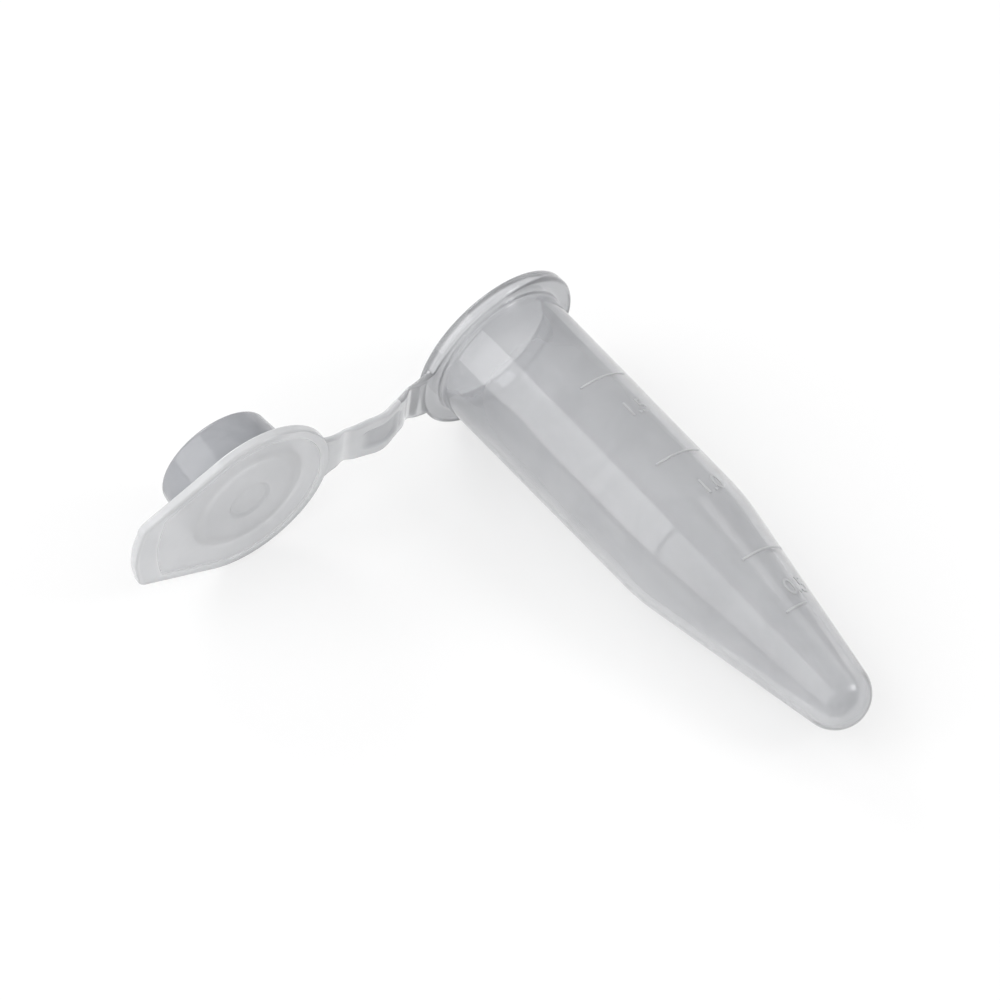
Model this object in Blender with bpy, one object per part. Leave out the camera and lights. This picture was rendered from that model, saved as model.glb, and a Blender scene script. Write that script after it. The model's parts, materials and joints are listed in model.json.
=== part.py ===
"""Snap-cap conical tube with its tethered cap open, lying on its side as it comes to rest.

The real tube, strap and cap are one injection moulding in natural polypropylene.
Here it is split only where it flexes: at the thin crease beside the collar, at the
bend in the middle of the strap, and at the thin crease beside the cap.

Each piece is drawn in millimetres in its own frame. The tube's frame stands upright:
+Z runs out of the mouth, +X points to the strap, and the rim of the mouth is at Z = 0.
"""

import math

import bmesh
import bpy
from mathutils import Euler, Matrix, Vector

MM = 0.001

# Tube body, all in millimetres
COLLAR_RADIUS = 6.75
COLLAR_THICKNESS = 1.1
COLLAR_EDGE_ROUND = 0.3
BODY_TOP_RADIUS = 5.36
SHOULDER_RADIUS = 5.2
SHOULDER_DEPTH = 21.9
SHOULDER_BLEND = 18.0
TIP_RADIUS = 2.55
TUBE_LENGTH = 39.55
WALL = 0.6
TIP_WALL = 0.9
MOUTH_FUNNEL = 0.45
FUNNEL_DEPTH = 1.5
UNDER_COLLAR_FILLET = 0.25

# Hinge strap
STRAP_WIDTH = 3.6
STRAP_THICKNESS = 0.5
CREASE_THICKNESS = 0.28
CREASE_RUNOUT = 0.6
STRAP_REACH = 8.25
HALF_LENGTH = 2.975
RAIL_WIDTH = 0.75
POCKET_DEPTH = 0.2
POCKET_START = 1.0
STRAP_BELLY = 0.25
STRAP_EDGE_ROUND = 0.07
ROOT_FLARE = 0.9
STUB_OVERLAP = 0.6
MOULDED_GAP = 0.3

# Cap
CAP_RADIUS = 6.7
CAP_THICKNESS = 0.75
CAP_EDGE_ROUND = 0.18
STUB_BELOW_FACE = 0.1
CAP_STUB_THICKNESS = 0.45
TAB_REACH = 9.25
TAB_WIDTH = 6.2
TAB_CORNER = 1.0
TAB_CORNER_LEAST = 0.2
TAB_BULGE = 0.4
RIM_WIDTH = 0.65
TAB_RIM_WIDTH = 1.8
RIM_HEIGHT = 0.15
DIMPLE_RADIUS = 1.7
DIMPLE_DEPTH = 0.22
PLUG_RADIUS = 4.55
PLUG_HEIGHT = 3.9
PLUG_WALL = 0.75
BEAD_HEIGHT = 0.08
BEAD_FROM_FACE = 1.4
BEAD_HALF_LENGTH = 0.9
PLUG_TAPER = 0.15
PLUG_END_ROUND = 0.3
PLUG_ROOT_FILLET = 0.2

# How the open strap and cap hang, in degrees, positive towards the closed cap
CREASE_DROOP = -14.3
MID_STRAP_BEND = 25.2
CAP_LIFT = -7.5

# Facets
TURNS = 64
ARC_STEPS = 6
EDGE_STEPS = 3
FLARE_STEPS = 8
CAP_ARC_STEPS = 44
CAP_SIDE_STEPS = 4
CAP_CORNER_STEPS = 4
CAP_FRONT_STEPS = 4
SHARP_ANGLE = 30.0

# Natural polypropylene
PLASTIC_COLOUR = (0.72, 0.74, 0.77, 1.0)
PLASTIC_ROUGHNESS = 0.22
PLASTIC_TRANSMISSION = 0.8
PLASTIC_IOR = 1.49


def clear_scene():
    """Removes the objects that the file opened with."""
    for found in list(bpy.data.objects):
        bpy.data.objects.remove(found, do_unlink=True)


def make_plastic(name):
    """One piece's own natural polypropylene."""
    material = bpy.data.materials.new(name)
    material.use_nodes = True
    shader = material.node_tree.nodes["Principled BSDF"]
    shader.inputs["Base Color"].default_value = PLASTIC_COLOUR
    shader.inputs["Roughness"].default_value = PLASTIC_ROUGHNESS
    shader.inputs["Metallic"].default_value = 0.0
    shader.inputs["Transmission Weight"].default_value = PLASTIC_TRANSMISSION
    shader.inputs["IOR"].default_value = PLASTIC_IOR
    return material


def arc(centre, radius, start, end, steps):
    """Points of an arc in a half section, as (radius, height), angles in radians."""
    points = []
    for step in range(steps + 1):
        angle = start + (end - start) * step / steps
        points.append((centre[0] + radius * math.cos(angle), centre[1] + radius * math.sin(angle)))
    return points


def straight(start, end, steps):
    """The points between two ends of a straight line, without the ends."""
    points = []
    for step in range(1, steps):
        share = step / steps
        points.append((start[0] + (end[0] - start[0]) * share, start[1] + (end[1] - start[1]) * share))
    return points


def cone_angle(shoulder_radius, tip_radius, drop):
    """Half angle of a cone from the shoulder that runs tangent into the round tip."""
    slant = math.hypot(shoulder_radius, drop)
    return math.acos(tip_radius / slant) - math.atan2(drop, shoulder_radius)


def shoulder_arc(top, shoulder, tip_radius, tip_centre, blend):
    """The round that blends body into cone: its centre, and its two ends as angles."""
    cone = cone_angle(shoulder[0], tip_radius, shoulder[1] - tip_centre)
    draft = math.atan2(top[0] - shoulder[0], top[1] - shoulder[1])
    tangent = blend * math.tan((cone - draft) / 2)
    start = (shoulder[0] - tangent * math.sin(cone), shoulder[1] - tangent * math.cos(cone))
    centre = (start[0] - blend * math.cos(cone), start[1] + blend * math.sin(cone))
    return centre, -cone, -draft


def vessel_profile(top, shoulder, tip_radius, tip_centre, blend):
    """Half section of one skin of the tube, from the axis at the tip up to its top point."""
    centre, start, end = shoulder_arc(top, shoulder, tip_radius, tip_centre, blend)
    points = arc((0.0, tip_centre), tip_radius, -math.pi / 2, start, ARC_STEPS)[1:]
    points += arc(centre, blend, start, end, ARC_STEPS)
    points.append(top)
    return points


def outer_skin():
    """What shapes the tube's outer skin below the collar."""
    top = (BODY_TOP_RADIUS, -COLLAR_THICKNESS - UNDER_COLLAR_FILLET)
    return top, (SHOULDER_RADIUS, -SHOULDER_DEPTH), TIP_RADIUS, TIP_RADIUS - TUBE_LENGTH, SHOULDER_BLEND


def inner_skin():
    """What shapes the bore below its funnel: the outer skin less the wall."""
    top = (BODY_TOP_RADIUS - WALL, -FUNNEL_DEPTH)
    shoulder = (SHOULDER_RADIUS - WALL, -SHOULDER_DEPTH)
    return top, shoulder, TIP_RADIUS - TIP_WALL, TIP_RADIUS - TUBE_LENGTH, SHOULDER_BLEND - WALL


def tube_profile():
    """Half section of the whole tube, from the outer tip over the collar to the inner tip."""
    fillet, edge = UNDER_COLLAR_FILLET, COLLAR_EDGE_ROUND
    under = -COLLAR_THICKNESS
    mouth_radius = BODY_TOP_RADIUS - WALL + MOUTH_FUNNEL
    outer = vessel_profile(*outer_skin())
    root = arc((BODY_TOP_RADIUS + fillet, under - fillet), fillet, math.pi, math.pi / 2, EDGE_STEPS)
    lower_edge = arc((COLLAR_RADIUS - edge, under + edge), edge, -math.pi / 2, 0.0, EDGE_STEPS)
    upper_edge = arc((COLLAR_RADIUS - edge, -edge), edge, 0.0, math.pi / 2, EDGE_STEPS)
    lip = arc((mouth_radius + edge, -edge), edge, math.pi / 2, math.pi, EDGE_STEPS)
    inner = vessel_profile(*inner_skin())
    return outer + root[1:] + lower_edge + upper_edge + lip + inner[::-1]


def circle_ring(radius, height, angles, centre=(0.0, 0.0)):
    """A level ring of points at the given angles round a centre."""
    ring = []
    for angle in angles:
        x = centre[0] + radius * math.cos(angle)
        y = centre[1] + radius * math.sin(angle)
        ring.append(Vector((x, y, height)))
    return ring


def bridge(bm, lower, upper):
    """Joins two closed rings of vertices with faces."""
    count = len(lower)
    for i in range(count):
        j = (i + 1) % count
        bm.faces.new((lower[i], lower[j], upper[j], upper[i]))


def fan(bm, ring, tip, outward):
    """Closes a ring of vertices with a fan of triangles to one point."""
    count = len(ring)
    for i in range(count):
        j = (i + 1) % count
        corners = (ring[i], ring[j], tip) if outward else (ring[j], ring[i], tip)
        bm.faces.new(corners)


def finish_mesh(bm, name):
    """Turns a bmesh in millimetres into a smooth-shaded mesh in metres, faces outwards."""
    bmesh.ops.recalc_face_normals(bm, faces=bm.faces)
    bmesh.ops.scale(bm, vec=(MM, MM, MM), verts=bm.verts)
    mesh = bpy.data.meshes.new(name)
    bm.to_mesh(mesh)
    bm.free()
    mesh.shade_smooth()
    mesh.set_sharp_from_angle(angle=math.radians(SHARP_ANGLE))
    return mesh


def loft_between_poles(name, rings, first_pole, last_pole):
    """A closed skin over a stack of rings, closed at both ends on the axis."""
    bm = bmesh.new()
    stack = [[bm.verts.new(point) for point in ring] for ring in rings]
    for lower, upper in zip(stack, stack[1:]):
        bridge(bm, lower, upper)
    fan(bm, stack[0], bm.verts.new(first_pole), outward=False)
    fan(bm, stack[-1], bm.verts.new(last_pole), outward=True)
    return finish_mesh(bm, name)


def loft_sections(name, sections):
    """A closed bar over a row of like sections, with flat ends."""
    bm = bmesh.new()
    stack = [[bm.verts.new(point) for point in section] for section in sections]
    for near, far in zip(stack, stack[1:]):
        bridge(bm, near, far)
    ends = [bm.faces.new(stack[0]), bm.faces.new(stack[-1])]
    bmesh.ops.triangulate(bm, faces=ends)
    return finish_mesh(bm, name)


def add_object(name, mesh, parent, location, turn=0.0):
    """Places a mesh under its parent; turn is about the hinge direction, in degrees."""
    made = bpy.data.objects.new(name, mesh)
    bpy.context.scene.collection.objects.link(made)
    made.parent = parent
    made.location = Vector(location) * MM
    made.rotation_euler = Euler((0.0, -math.radians(turn), 0.0))
    return made


def fuse(target, tool):
    """Joins a moulded-on piece to its carrier; the tool stays as a hidden guide."""
    tool.hide_render = True
    tool.display_type = "WIRE"
    union = target.modifiers.new("Moulded on", "BOOLEAN")
    union.operation = "UNION"
    union.solver = "EXACT"
    union.object = tool


def stub_section(x, half_width, top, thickness):
    """One flat section of a strap stub."""
    low = top - thickness
    corners = ((-half_width, top), (-half_width, low), (half_width, low), (half_width, top))
    return [Vector((x, y, z)) for y, z in corners]


def flare_stub(name, start, crease, half_width, flare, top, thickness):
    """A stub that leaves its carrier wide, narrows in a curve and thins into the crease."""
    sections = []
    for step in range(FLARE_STEPS + 1):
        share = step / FLARE_STEPS
        x = start + (crease - start) * share
        extra = flare * (1.0 - math.sin(share * math.pi / 2)) ** 2
        depth = CREASE_THICKNESS if step == FLARE_STEPS else thickness
        sections.append(stub_section(x, half_width + extra, top, depth))
    return loft_sections(name, sections)


def strap_section(x, half_width, thickness, pocket):
    """One section of the strap: flat on top, with a rail along each edge underneath."""
    soft = STRAP_EDGE_ROUND
    rail = half_width - RAIL_WIDTH
    ramp = rail - POCKET_DEPTH
    floor = thickness - pocket
    outline = [
        (-half_width, -soft), (-half_width, -thickness + soft), (-half_width + soft, -thickness),
        (-rail, -thickness), (-ramp, -floor), (ramp, -floor), (rail, -thickness),
        (half_width - soft, -thickness), (half_width, -thickness + soft), (half_width, -soft),
        (half_width - soft, 0.0), (-half_width + soft, 0.0),
    ]
    return [Vector((x, y, z)) for y, z in outline]


def strap_half(name, from_crease):
    """Half of the strap, from its crease to the bend, or from the bend to its crease."""
    near = MOULDED_GAP / 2
    far = HALF_LENGTH - MOULDED_GAP / 2
    pocket_full = POCKET_START + POCKET_DEPTH
    stations = [near, CREASE_RUNOUT, POCKET_START, pocket_full, (pocket_full + far) / 2, far]
    sections = []
    for distance in stations:
        thin = max(0.0, 1.0 - (distance - near) / (CREASE_RUNOUT - near))
        thickness = STRAP_THICKNESS - (STRAP_THICKNESS - CREASE_THICKNESS) * thin
        belly = STRAP_BELLY * math.sin(math.pi / 2 * distance / HALF_LENGTH)
        pocket = POCKET_DEPTH if distance >= pocket_full else 0.0
        x = distance if from_crease else HALF_LENGTH - distance
        sections.append(strap_section(x, STRAP_WIDTH / 2 + belly, thickness, pocket))
    return loft_sections(name, sections)


def tab_slope(radius, reach, half_width):
    """Angle at which the tab's sides leave the cap's round edge."""
    corner = math.hypot(reach, half_width)
    return math.atan2(reach, half_width) - math.acos(radius / corner)


def cap_outline(inset, front_inset):
    """The cap's edge seen from above, moved inwards, as (x, y) round the disc's centre."""
    slope = tab_slope(CAP_RADIUS, TAB_REACH, TAB_WIDTH / 2)
    radius = CAP_RADIUS - inset
    front = TAB_REACH - front_inset
    corner = max(TAB_CORNER - inset / 2, TAB_CORNER_LEAST)
    corner_x = front - corner
    corner_y = (radius - corner - corner_x * math.sin(slope)) / math.cos(slope)
    leave = math.pi / 2 - slope
    round_edge = arc((0.0, 0.0), radius, leave, 2 * math.pi - leave, CAP_ARC_STEPS)
    lower_corner = arc((corner_x, -corner_y), corner, -leave, 0.0, CAP_CORNER_STEPS)
    upper_corner = arc((corner_x, corner_y), corner, 0.0, leave, CAP_CORNER_STEPS)
    points = round_edge
    points += straight(round_edge[-1], lower_corner[0], CAP_SIDE_STEPS)
    points += lower_corner
    for x, y in straight(lower_corner[-1], upper_corner[0], CAP_FRONT_STEPS):
        points.append((x + TAB_BULGE * (1.0 - (y / corner_y) ** 2), y))
    points += upper_corner
    points += straight(upper_corner[-1], round_edge[0], CAP_SIDE_STEPS)
    return points


def plug_profile(face):
    """Half section of the hollow plug, from its outer root round its end to the inner floor."""
    root = arc((PLUG_RADIUS + PLUG_ROOT_FILLET, face + PLUG_ROOT_FILLET), PLUG_ROOT_FILLET,
               -math.pi / 2, -math.pi, EDGE_STEPS)
    bead = []
    for step in range(ARC_STEPS + 1):
        share = step / ARC_STEPS
        height = BEAD_FROM_FACE + BEAD_HALF_LENGTH * (2 * share - 1)
        swell = BEAD_HEIGHT * math.sin(math.pi * share) ** 2
        bead.append((PLUG_RADIUS + swell, face + height))
    end = face + PLUG_HEIGHT
    outer = PLUG_RADIUS - PLUG_TAPER - PLUG_END_ROUND
    inner = PLUG_RADIUS - PLUG_WALL + PLUG_END_ROUND / 2
    outer_end = arc((outer, end - PLUG_END_ROUND), PLUG_END_ROUND, 0.0, math.pi / 2, EDGE_STEPS)
    inner_end = arc((inner, end - PLUG_END_ROUND / 2), PLUG_END_ROUND / 2, math.pi / 2, math.pi,
                    EDGE_STEPS)
    floor = [(PLUG_RADIUS - PLUG_WALL, face + PLUG_ROOT_FILLET),
             (PLUG_RADIUS - PLUG_WALL - PLUG_ROOT_FILLET, face)]
    return root + bead + outer_end + inner_end + floor


def cap_mesh():
    """The cap from the middle of its outer face, over its edge, to the middle of the plug."""
    face = STUB_BELOW_FACE
    outside = face - CAP_THICKNESS
    field = outside + RIM_HEIGHT
    soft = CAP_EDGE_ROUND
    softer = soft * (1.0 - math.cos(math.pi / 4))
    centre = (STRAP_REACH, 0.0)
    edge = cap_outline(0.0, 0.0)
    angles = [math.atan2(y, x) for x, y in edge]

    def level(points, height):
        return [Vector((centre[0] + x, y, height)) for x, y in points]

    rings = [circle_ring(DIMPLE_RADIUS - DIMPLE_DEPTH, field + DIMPLE_DEPTH, angles, centre)]
    rings.append(circle_ring(DIMPLE_RADIUS, field, angles, centre))
    rings.append(circle_ring(PLUG_RADIUS, field, angles, centre))
    rings.append(level(cap_outline(RIM_WIDTH + RIM_HEIGHT, TAB_RIM_WIDTH + RIM_HEIGHT), field))
    rings.append(level(cap_outline(RIM_WIDTH, TAB_RIM_WIDTH), outside))
    rings.append(level(cap_outline(soft, soft), outside))
    rings.append(level(cap_outline(softer, softer), outside + softer))
    rings.append(level(edge, outside + soft))
    rings.append(level(edge, face - soft))
    rings.append(level(cap_outline(softer, softer), face - softer))
    rings.append(level(cap_outline(soft, soft), face))
    for radius, height in plug_profile(face):
        rings.append(circle_ring(radius, height, angles, centre))
    first = Vector((centre[0], 0.0, field + DIMPLE_DEPTH))
    last = Vector((centre[0], 0.0, face))
    return loft_between_poles("cap", rings, first, last)


def tube_mesh():
    """The turned tube, closed at the outer and the inner end of its tip."""
    angles = [2 * math.pi * i / TURNS for i in range(TURNS)]
    rings = [circle_ring(radius, height, angles) for radius, height in tube_profile()]
    outer_tip = Vector((0.0, 0.0, -TUBE_LENGTH))
    inner_tip = Vector((0.0, 0.0, TIP_WALL - TUBE_LENGTH))
    return loft_between_poles("tube", rings, outer_tip, inner_tip)


def resting_tilt():
    """Angle at which the collar's lower edge and the round shoulder touch one flat surface."""
    centre = shoulder_arc(*outer_skin())[0]
    edge = COLLAR_EDGE_ROUND
    rise = COLLAR_RADIUS - edge - centre[0]
    run = edge - COLLAR_THICKNESS - centre[1]
    return math.acos((SHOULDER_BLEND - edge) / math.hypot(rise, run)) - math.atan2(run, rise)


def lay_down(stand, pieces):
    """Turns the upright frame on its side and centres its footprint over the origin."""
    tilt = resting_tilt()
    to_strap = Vector((0.0, -1.0, 0.0))
    upwards = Vector((math.sin(tilt), 0.0, math.cos(tilt)))
    out_of_mouth = Vector((-math.cos(tilt), 0.0, math.sin(tilt)))
    turn = Matrix((to_strap, upwards, out_of_mouth)).transposed()
    stand.rotation_euler = turn.to_euler()
    bpy.context.view_layer.update()
    corners = [piece.matrix_world @ vertex.co for piece in pieces for vertex in piece.data.vertices]
    low = Vector([min(corner[k] for corner in corners) for k in range(3)])
    high = Vector([max(corner[k] for corner in corners) for k in range(3)])
    stand.location = (-(low.x + high.x) / 2, -(low.y + high.y) / 2, -low.z)


def build():
    """Builds the pieces on their hinge axes and lays the part down."""
    clear_scene()
    stand = bpy.data.objects.new("upright_frame", None)
    bpy.context.scene.collection.objects.link(stand)
    half_gap = MOULDED_GAP / 2
    half_width = STRAP_WIDTH / 2
    strap_top = STRAP_THICKNESS - COLLAR_THICKNESS

    tube = add_object("tube", tube_mesh(), stand, (0.0, 0.0, 0.0))
    root_start = COLLAR_RADIUS - STUB_OVERLAP
    root = flare_stub("strap_root", root_start, STRAP_REACH - half_gap, half_width, ROOT_FLARE,
                      strap_top, STRAP_THICKNESS)
    fuse(tube, add_object("strap_root", root, tube, (0.0, 0.0, 0.0)))

    tube_side = add_object("strap_tube_side", strap_half("strap_tube_side", from_crease=True),
                           tube, (STRAP_REACH, 0.0, strap_top), CREASE_DROOP)
    cap_side = add_object("strap_cap_side", strap_half("strap_cap_side", from_crease=False),
                          tube_side, (HALF_LENGTH, 0.0, 0.0), MID_STRAP_BEND)
    cap = add_object("cap", cap_mesh(), cap_side, (HALF_LENGTH, 0.0, 0.0), CAP_LIFT)
    stub_start = STRAP_REACH - CAP_RADIUS + STUB_OVERLAP
    stub = flare_stub("cap_stub", stub_start, half_gap, half_width, ROOT_FLARE / 2,
                      0.0, CAP_STUB_THICKNESS)
    fuse(cap, add_object("cap_stub", stub, cap, (0.0, 0.0, 0.0)))

    pieces = [tube, tube_side, cap_side, cap]
    for piece in pieces:
        piece.data.materials.append(make_plastic(piece.name + "_plastic"))
    lay_down(stand, pieces)


if __name__ == "__main__":
    build()
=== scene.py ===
"""Snap-cap conical tube in undyed polypropylene, lying open on a pale floor.

The one-piece moulding is made of three skins that meet on the strap:
the tube with the strap's root, the strap's fold, and the cap with the strap's end. The
moulded volume scale rides on the tube.

Lengths are in metres. The tube's own frame stands upright: +Z runs out of the mouth, +X
points to the strap, and the rim of the mouth is at Z = 0. Along the strap, distance 0 is
the crease beside the collar, and height 0 is its flat face.
"""

import json
import math

import bmesh
import bpy
from bpy.props import FloatProperty, FloatVectorProperty, IntProperty, PointerProperty
from mathutils import Matrix, Vector


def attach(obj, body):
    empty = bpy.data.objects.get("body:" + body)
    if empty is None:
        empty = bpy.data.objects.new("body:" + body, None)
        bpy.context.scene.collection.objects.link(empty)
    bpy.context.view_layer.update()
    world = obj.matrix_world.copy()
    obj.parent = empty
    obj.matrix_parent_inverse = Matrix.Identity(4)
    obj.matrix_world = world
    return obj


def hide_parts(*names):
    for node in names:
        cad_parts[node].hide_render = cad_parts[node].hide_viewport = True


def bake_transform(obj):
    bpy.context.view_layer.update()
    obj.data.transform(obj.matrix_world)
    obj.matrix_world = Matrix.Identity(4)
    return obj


bl_info = {
    "name": "Snap-cap conical tube",
    "version": (1, 0, 0),
    "blender": (4, 5, 0),
    "location": "View3D > Sidebar > Conical tube",
    "description": "Builds an open snap-cap conical tube with its plastic and a pale studio",
    "category": "Add Mesh",
}

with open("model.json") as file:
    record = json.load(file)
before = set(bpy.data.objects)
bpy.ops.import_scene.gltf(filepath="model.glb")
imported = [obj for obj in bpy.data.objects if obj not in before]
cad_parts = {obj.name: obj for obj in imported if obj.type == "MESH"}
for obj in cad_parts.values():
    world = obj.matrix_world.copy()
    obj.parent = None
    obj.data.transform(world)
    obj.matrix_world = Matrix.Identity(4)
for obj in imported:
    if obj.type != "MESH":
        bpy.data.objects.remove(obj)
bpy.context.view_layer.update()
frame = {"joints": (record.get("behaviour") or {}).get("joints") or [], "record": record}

MM = 0.001
QUARTER = math.pi / 2
UP = Vector((0.0, 0.0, 1.0))

# Angles from which an edge is shaded sharp
SKIN_SHARP = math.radians(40.0)
SCALE_SHARP = math.radians(35.0)

# Rows of facets in the parts of the tube, the cap and the plug
TIP_ROWS, CONE_ROWS, SHOULDER_ROWS, BODY_ROWS = 22, 16, 14, 20
FILLET_ROWS, COLLAR_ROWS, EDGE_ROWS, LIP_ROWS, BORE_ROWS, FUNNEL_ROWS = 6, 3, 7, 2, 2, 8
FIELD_ROWS, SLOPE_ROWS, BORDER_ROWS, CAP_EDGE_ROWS, INNER_ROWS = 4, 12, 6, 6, 5
PLUG_FILLET_ROWS, BEAD_ROWS, PLUG_SIDE_ROWS, PLUG_END_ROWS = 5, 16, 6, 7
PLUG_LIP_ROWS, PLUG_WALL_ROWS, PLUG_FLOOR_ROWS = 6, 10, 5

# Steps round the cap's outline, and the shares at which rings lie across its border
ROUND_STEPS, CORNER_STEPS, TAB_STEPS = 240, 10, 14
BORDER_PARTS = (0.33, 0.66, 1.0)

# Between the strap's sections: in its fold, in its two ends, and at the collar and the cap
FOLD_STEP = 0.05 * MM
END_STEP = 2 * FOLD_STEP
ROOT_STEP = 0.14 * MM

# The rounded side's share of half the strap's thickness, the depths over which its recess
# slopes, how far past the recess's start its seams lie, and the height left over it in the
# collar's edge
SIDE_SHARE = 0.8
POCKET_SLOPE = 2.5
SEAM_PAST_POCKET = 0.35 * MM
STRAP_CLEARANCE = 0.08 * MM

# Lengths over which the painted shade and the painted highlight change
MOUTH_FADE = 9.0 * MM
COLLAR_FADE = 0.6 * MM
RIM_HIGHLIGHT_FADE = 0.7 * MM
PLUG_FADE = 0.3 * MM
PLUG_FOOT_FADE = 0.4 * MM

# How far the faint ring reaches past the plug's wall, and the plug floor's smallest ring
SINK_SPREAD = 0.25 * MM
PLUG_CENTRE = 0.3 * MM

# The scale's lines, as height and numeral, how finely lines and numerals are drawn, and how
# near points have to be to be joined
MARKS = ((-9.6 * MM, "1.5"), (-17.65 * MM, "1.0"), (-26.8 * MM, "0.5"), (-31.5 * MM, ""))
LINE_SIDES, LINE_POINTS, NUMERAL_POINTS = 12, 60, 72
WELD = 1e-7

# The noise of the flow marks and of the grain
FLOW_DETAIL, FLOW_TWIST, FLOW_START, FLOW_END = 3.0, 0.6, 0.38, 0.66
GRAIN_DETAIL = 2.0


def length(name, description, millimetres):
    """A size in metres, written in millimetres."""
    return FloatProperty(name=name, description=description, default=millimetres * MM,
                         unit="LENGTH", precision=5)


def share(name, description, value):
    """A share from 0 to 1."""
    return FloatProperty(name=name, description=description, default=value, min=0.0, max=1.0,
                         subtype="FACTOR")


def deep_share(name, place, value):
    """The share of the deep tone at a place."""
    return share(name, "Share of the deep tone in " + place, value)


def number(name, description, value):
    """A plain number."""
    return FloatProperty(name=name, description=description, default=value)


def count(name, description, value, least, most):
    """A whole number."""
    return IntProperty(name=name, description=description, default=value, min=least, max=most)


def colour(name, description, value):
    """A linear colour."""
    return FloatVectorProperty(name=name, description=description, default=value, size=3,
                               min=0.0, max=1.0, subtype="COLOR")


class BodySizes(bpy.types.PropertyGroup):
    """Sizes of the tube."""

    collar_radius: length("Collar radius", "Outer radius of the collar", 6.75)
    collar_thickness: length("Collar thickness", "Thickness of the collar", 1.1)
    collar_edge: length("Collar edge", "Round of the collar's edges", 0.3)
    top_radius: length("Body top radius", "Outer radius just under the collar", 5.36)
    shoulder_radius: length("Shoulder radius", "Outer radius where the cone begins", 5.2)
    shoulder_depth: length("Shoulder depth", "Depth of the shoulder below the mouth", 21.9)
    shoulder_blend: length("Shoulder blend", "Round between body and cone", 18.0)
    tip_radius: length("Tip radius", "Outer radius of the round tip", 2.55)
    tube_length: length("Length", "Length from mouth to tip", 39.55)
    wall: length("Wall", "Wall of the body and cone", 0.6)
    tip_wall: length("Tip wall", "Wall at the bottom of the tip", 0.9)
    funnel: length("Mouth funnel", "How much the mouth widens", 0.45)
    funnel_depth: length("Funnel depth", "Depth of the widened mouth", 1.5)
    root_fillet: length("Collar fillet", "Fillet between body and collar", 0.25)
    turns: count("Facets round", "Facets round the turned skin", 360, 32, 512)


class StrapSizes(bpy.types.PropertyGroup):
    """Sizes of the hinge strap."""

    width: length("Strap width", "Width of the strap at its creases", 3.6)
    thickness: length("Strap thickness", "Thickness of the strap at its rails", 0.5)
    crease: length("Crease thickness", "Thickness of the strap in its creases", 0.28)
    crease_run: length("Crease run", "Length over which a crease thins", 0.9)
    reach: length("Strap reach", "From the tube's or cap's axis to its crease", 8.25)
    half: length("Half length", "From a crease to the middle of the strap", 2.975)
    rail: length("Rail width", "Width of the raised rail along each edge", 0.75)
    pocket: length("Pocket depth", "Depth of the strap's recessed middle", 0.2)
    pocket_start: length("Pocket start", "From a crease to the recess", 1.0)
    belly: length("Belly", "How much wider the strap is in its middle, each side", 0.25)
    root_flare: length("Root flare", "How much wider the strap is at the collar, each side", 0.46)
    root_run: length("Root run", "Length over which the strap narrows from the collar", 1.85)
    end_flare: length("End flare", "How much wider the strap is at the cap, each side", 0.25)
    end_run: length("End run", "Length over which the strap narrows from the cap", 1.3)
    columns: count("Strap columns", "Columns on each side of the middle", 20, 4, 60)
    rows: count("Strap side rows", "Points down each side of the strap", 8, 7, 20)
    joint_run: length("Bend run", "Length over which a crease bends, each way", 0.5)
    fold_run: length("Fold run", "Length over which the middle bends, each way", 1.3)


class CapSizes(bpy.types.PropertyGroup):
    """Sizes of the cap and its plug."""

    radius: length("Cap radius", "Radius of the cap's round edge", 6.7)
    thickness: length("Cap thickness", "Thickness of the cap at its border", 0.75)
    edge: length("Cap edge", "Round of the cap's edges", 0.18)
    stub_below: length("Strap below face", "From the inner face to the strap's flat face", 0.1)
    tab_reach: length("Tab reach", "From the cap's middle to the front of its thumb tab", 9.25)
    tab_width: length("Tab width", "Width of the thumb tab at its front", 6.2)
    tab_corner: length("Tab corner", "Round of the thumb tab's corners", 1.0)
    tab_corner_least: length("Least corner", "Smallest round left in the border's corners", 0.2)
    tab_bulge: length("Tab bulge", "How much the tab's front bows out", 0.4)
    border: length("Border width", "Width of the raised border", 0.65)
    tab_border: length("Tab border width", "Width of the raised border at the tab", 1.8)
    border_height: length("Border height", "Height of the raised border", 0.15)
    dimple_radius: length("Dimple radius", "Radius of the round dimple", 1.75)
    dimple_run: length("Dimple wall", "Width of the dimple's sloping wall", 0.35)
    dimple_depth: length("Dimple depth", "Depth of the dimple", 0.22)
    sink: length("Sink mark", "Depth of the faint ring over the plug's wall", 0.03)
    plug_radius: length("Plug radius", "Outer radius of the sealing plug", 4.55)
    plug_height: length("Plug height", "Height of the plug over the inner face", 3.9)
    plug_wall: length("Plug wall", "Wall of the hollow plug", 0.75)
    bead: length("Bead height", "Height of the sealing bead", 0.08)
    bead_from_face: length("Bead place", "From the inner face to the middle of the bead", 1.4)
    bead_half: length("Bead half length", "Half the length of the bead", 0.9)
    plug_taper: length("Plug taper", "How much the plug narrows at its end", 0.15)
    plug_round: length("Plug end round", "Round of the plug's end", 0.3)
    plug_fillet: length("Plug fillet", "Fillet round the plug's root", 0.2)


class ScaleSizes(bpy.types.PropertyGroup):
    """Sizes of the moulded volume scale."""

    line: length("Line radius", "Radius of a moulded line, which is sunk by half of it", 0.11)
    numeral: length("Numeral height", "Height of the numerals", 1.9)
    relief: length("Numeral relief", "How far the numerals stand out", 0.035)
    drop: length("Numeral drop", "From a line down to its numeral's foot", 3.9)
    shift: length("Numeral shift", "From a line's start to its numeral", 1.2)
    long_line: length("Long line", "Length of a numbered line", 4.6)
    short_line: length("Short line", "Length of the lowest line", 2.0)
    bearing: FloatProperty(name="Bearing", description="Where the lines start round the tube",
                           default=math.radians(86.0), subtype="ANGLE")


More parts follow.
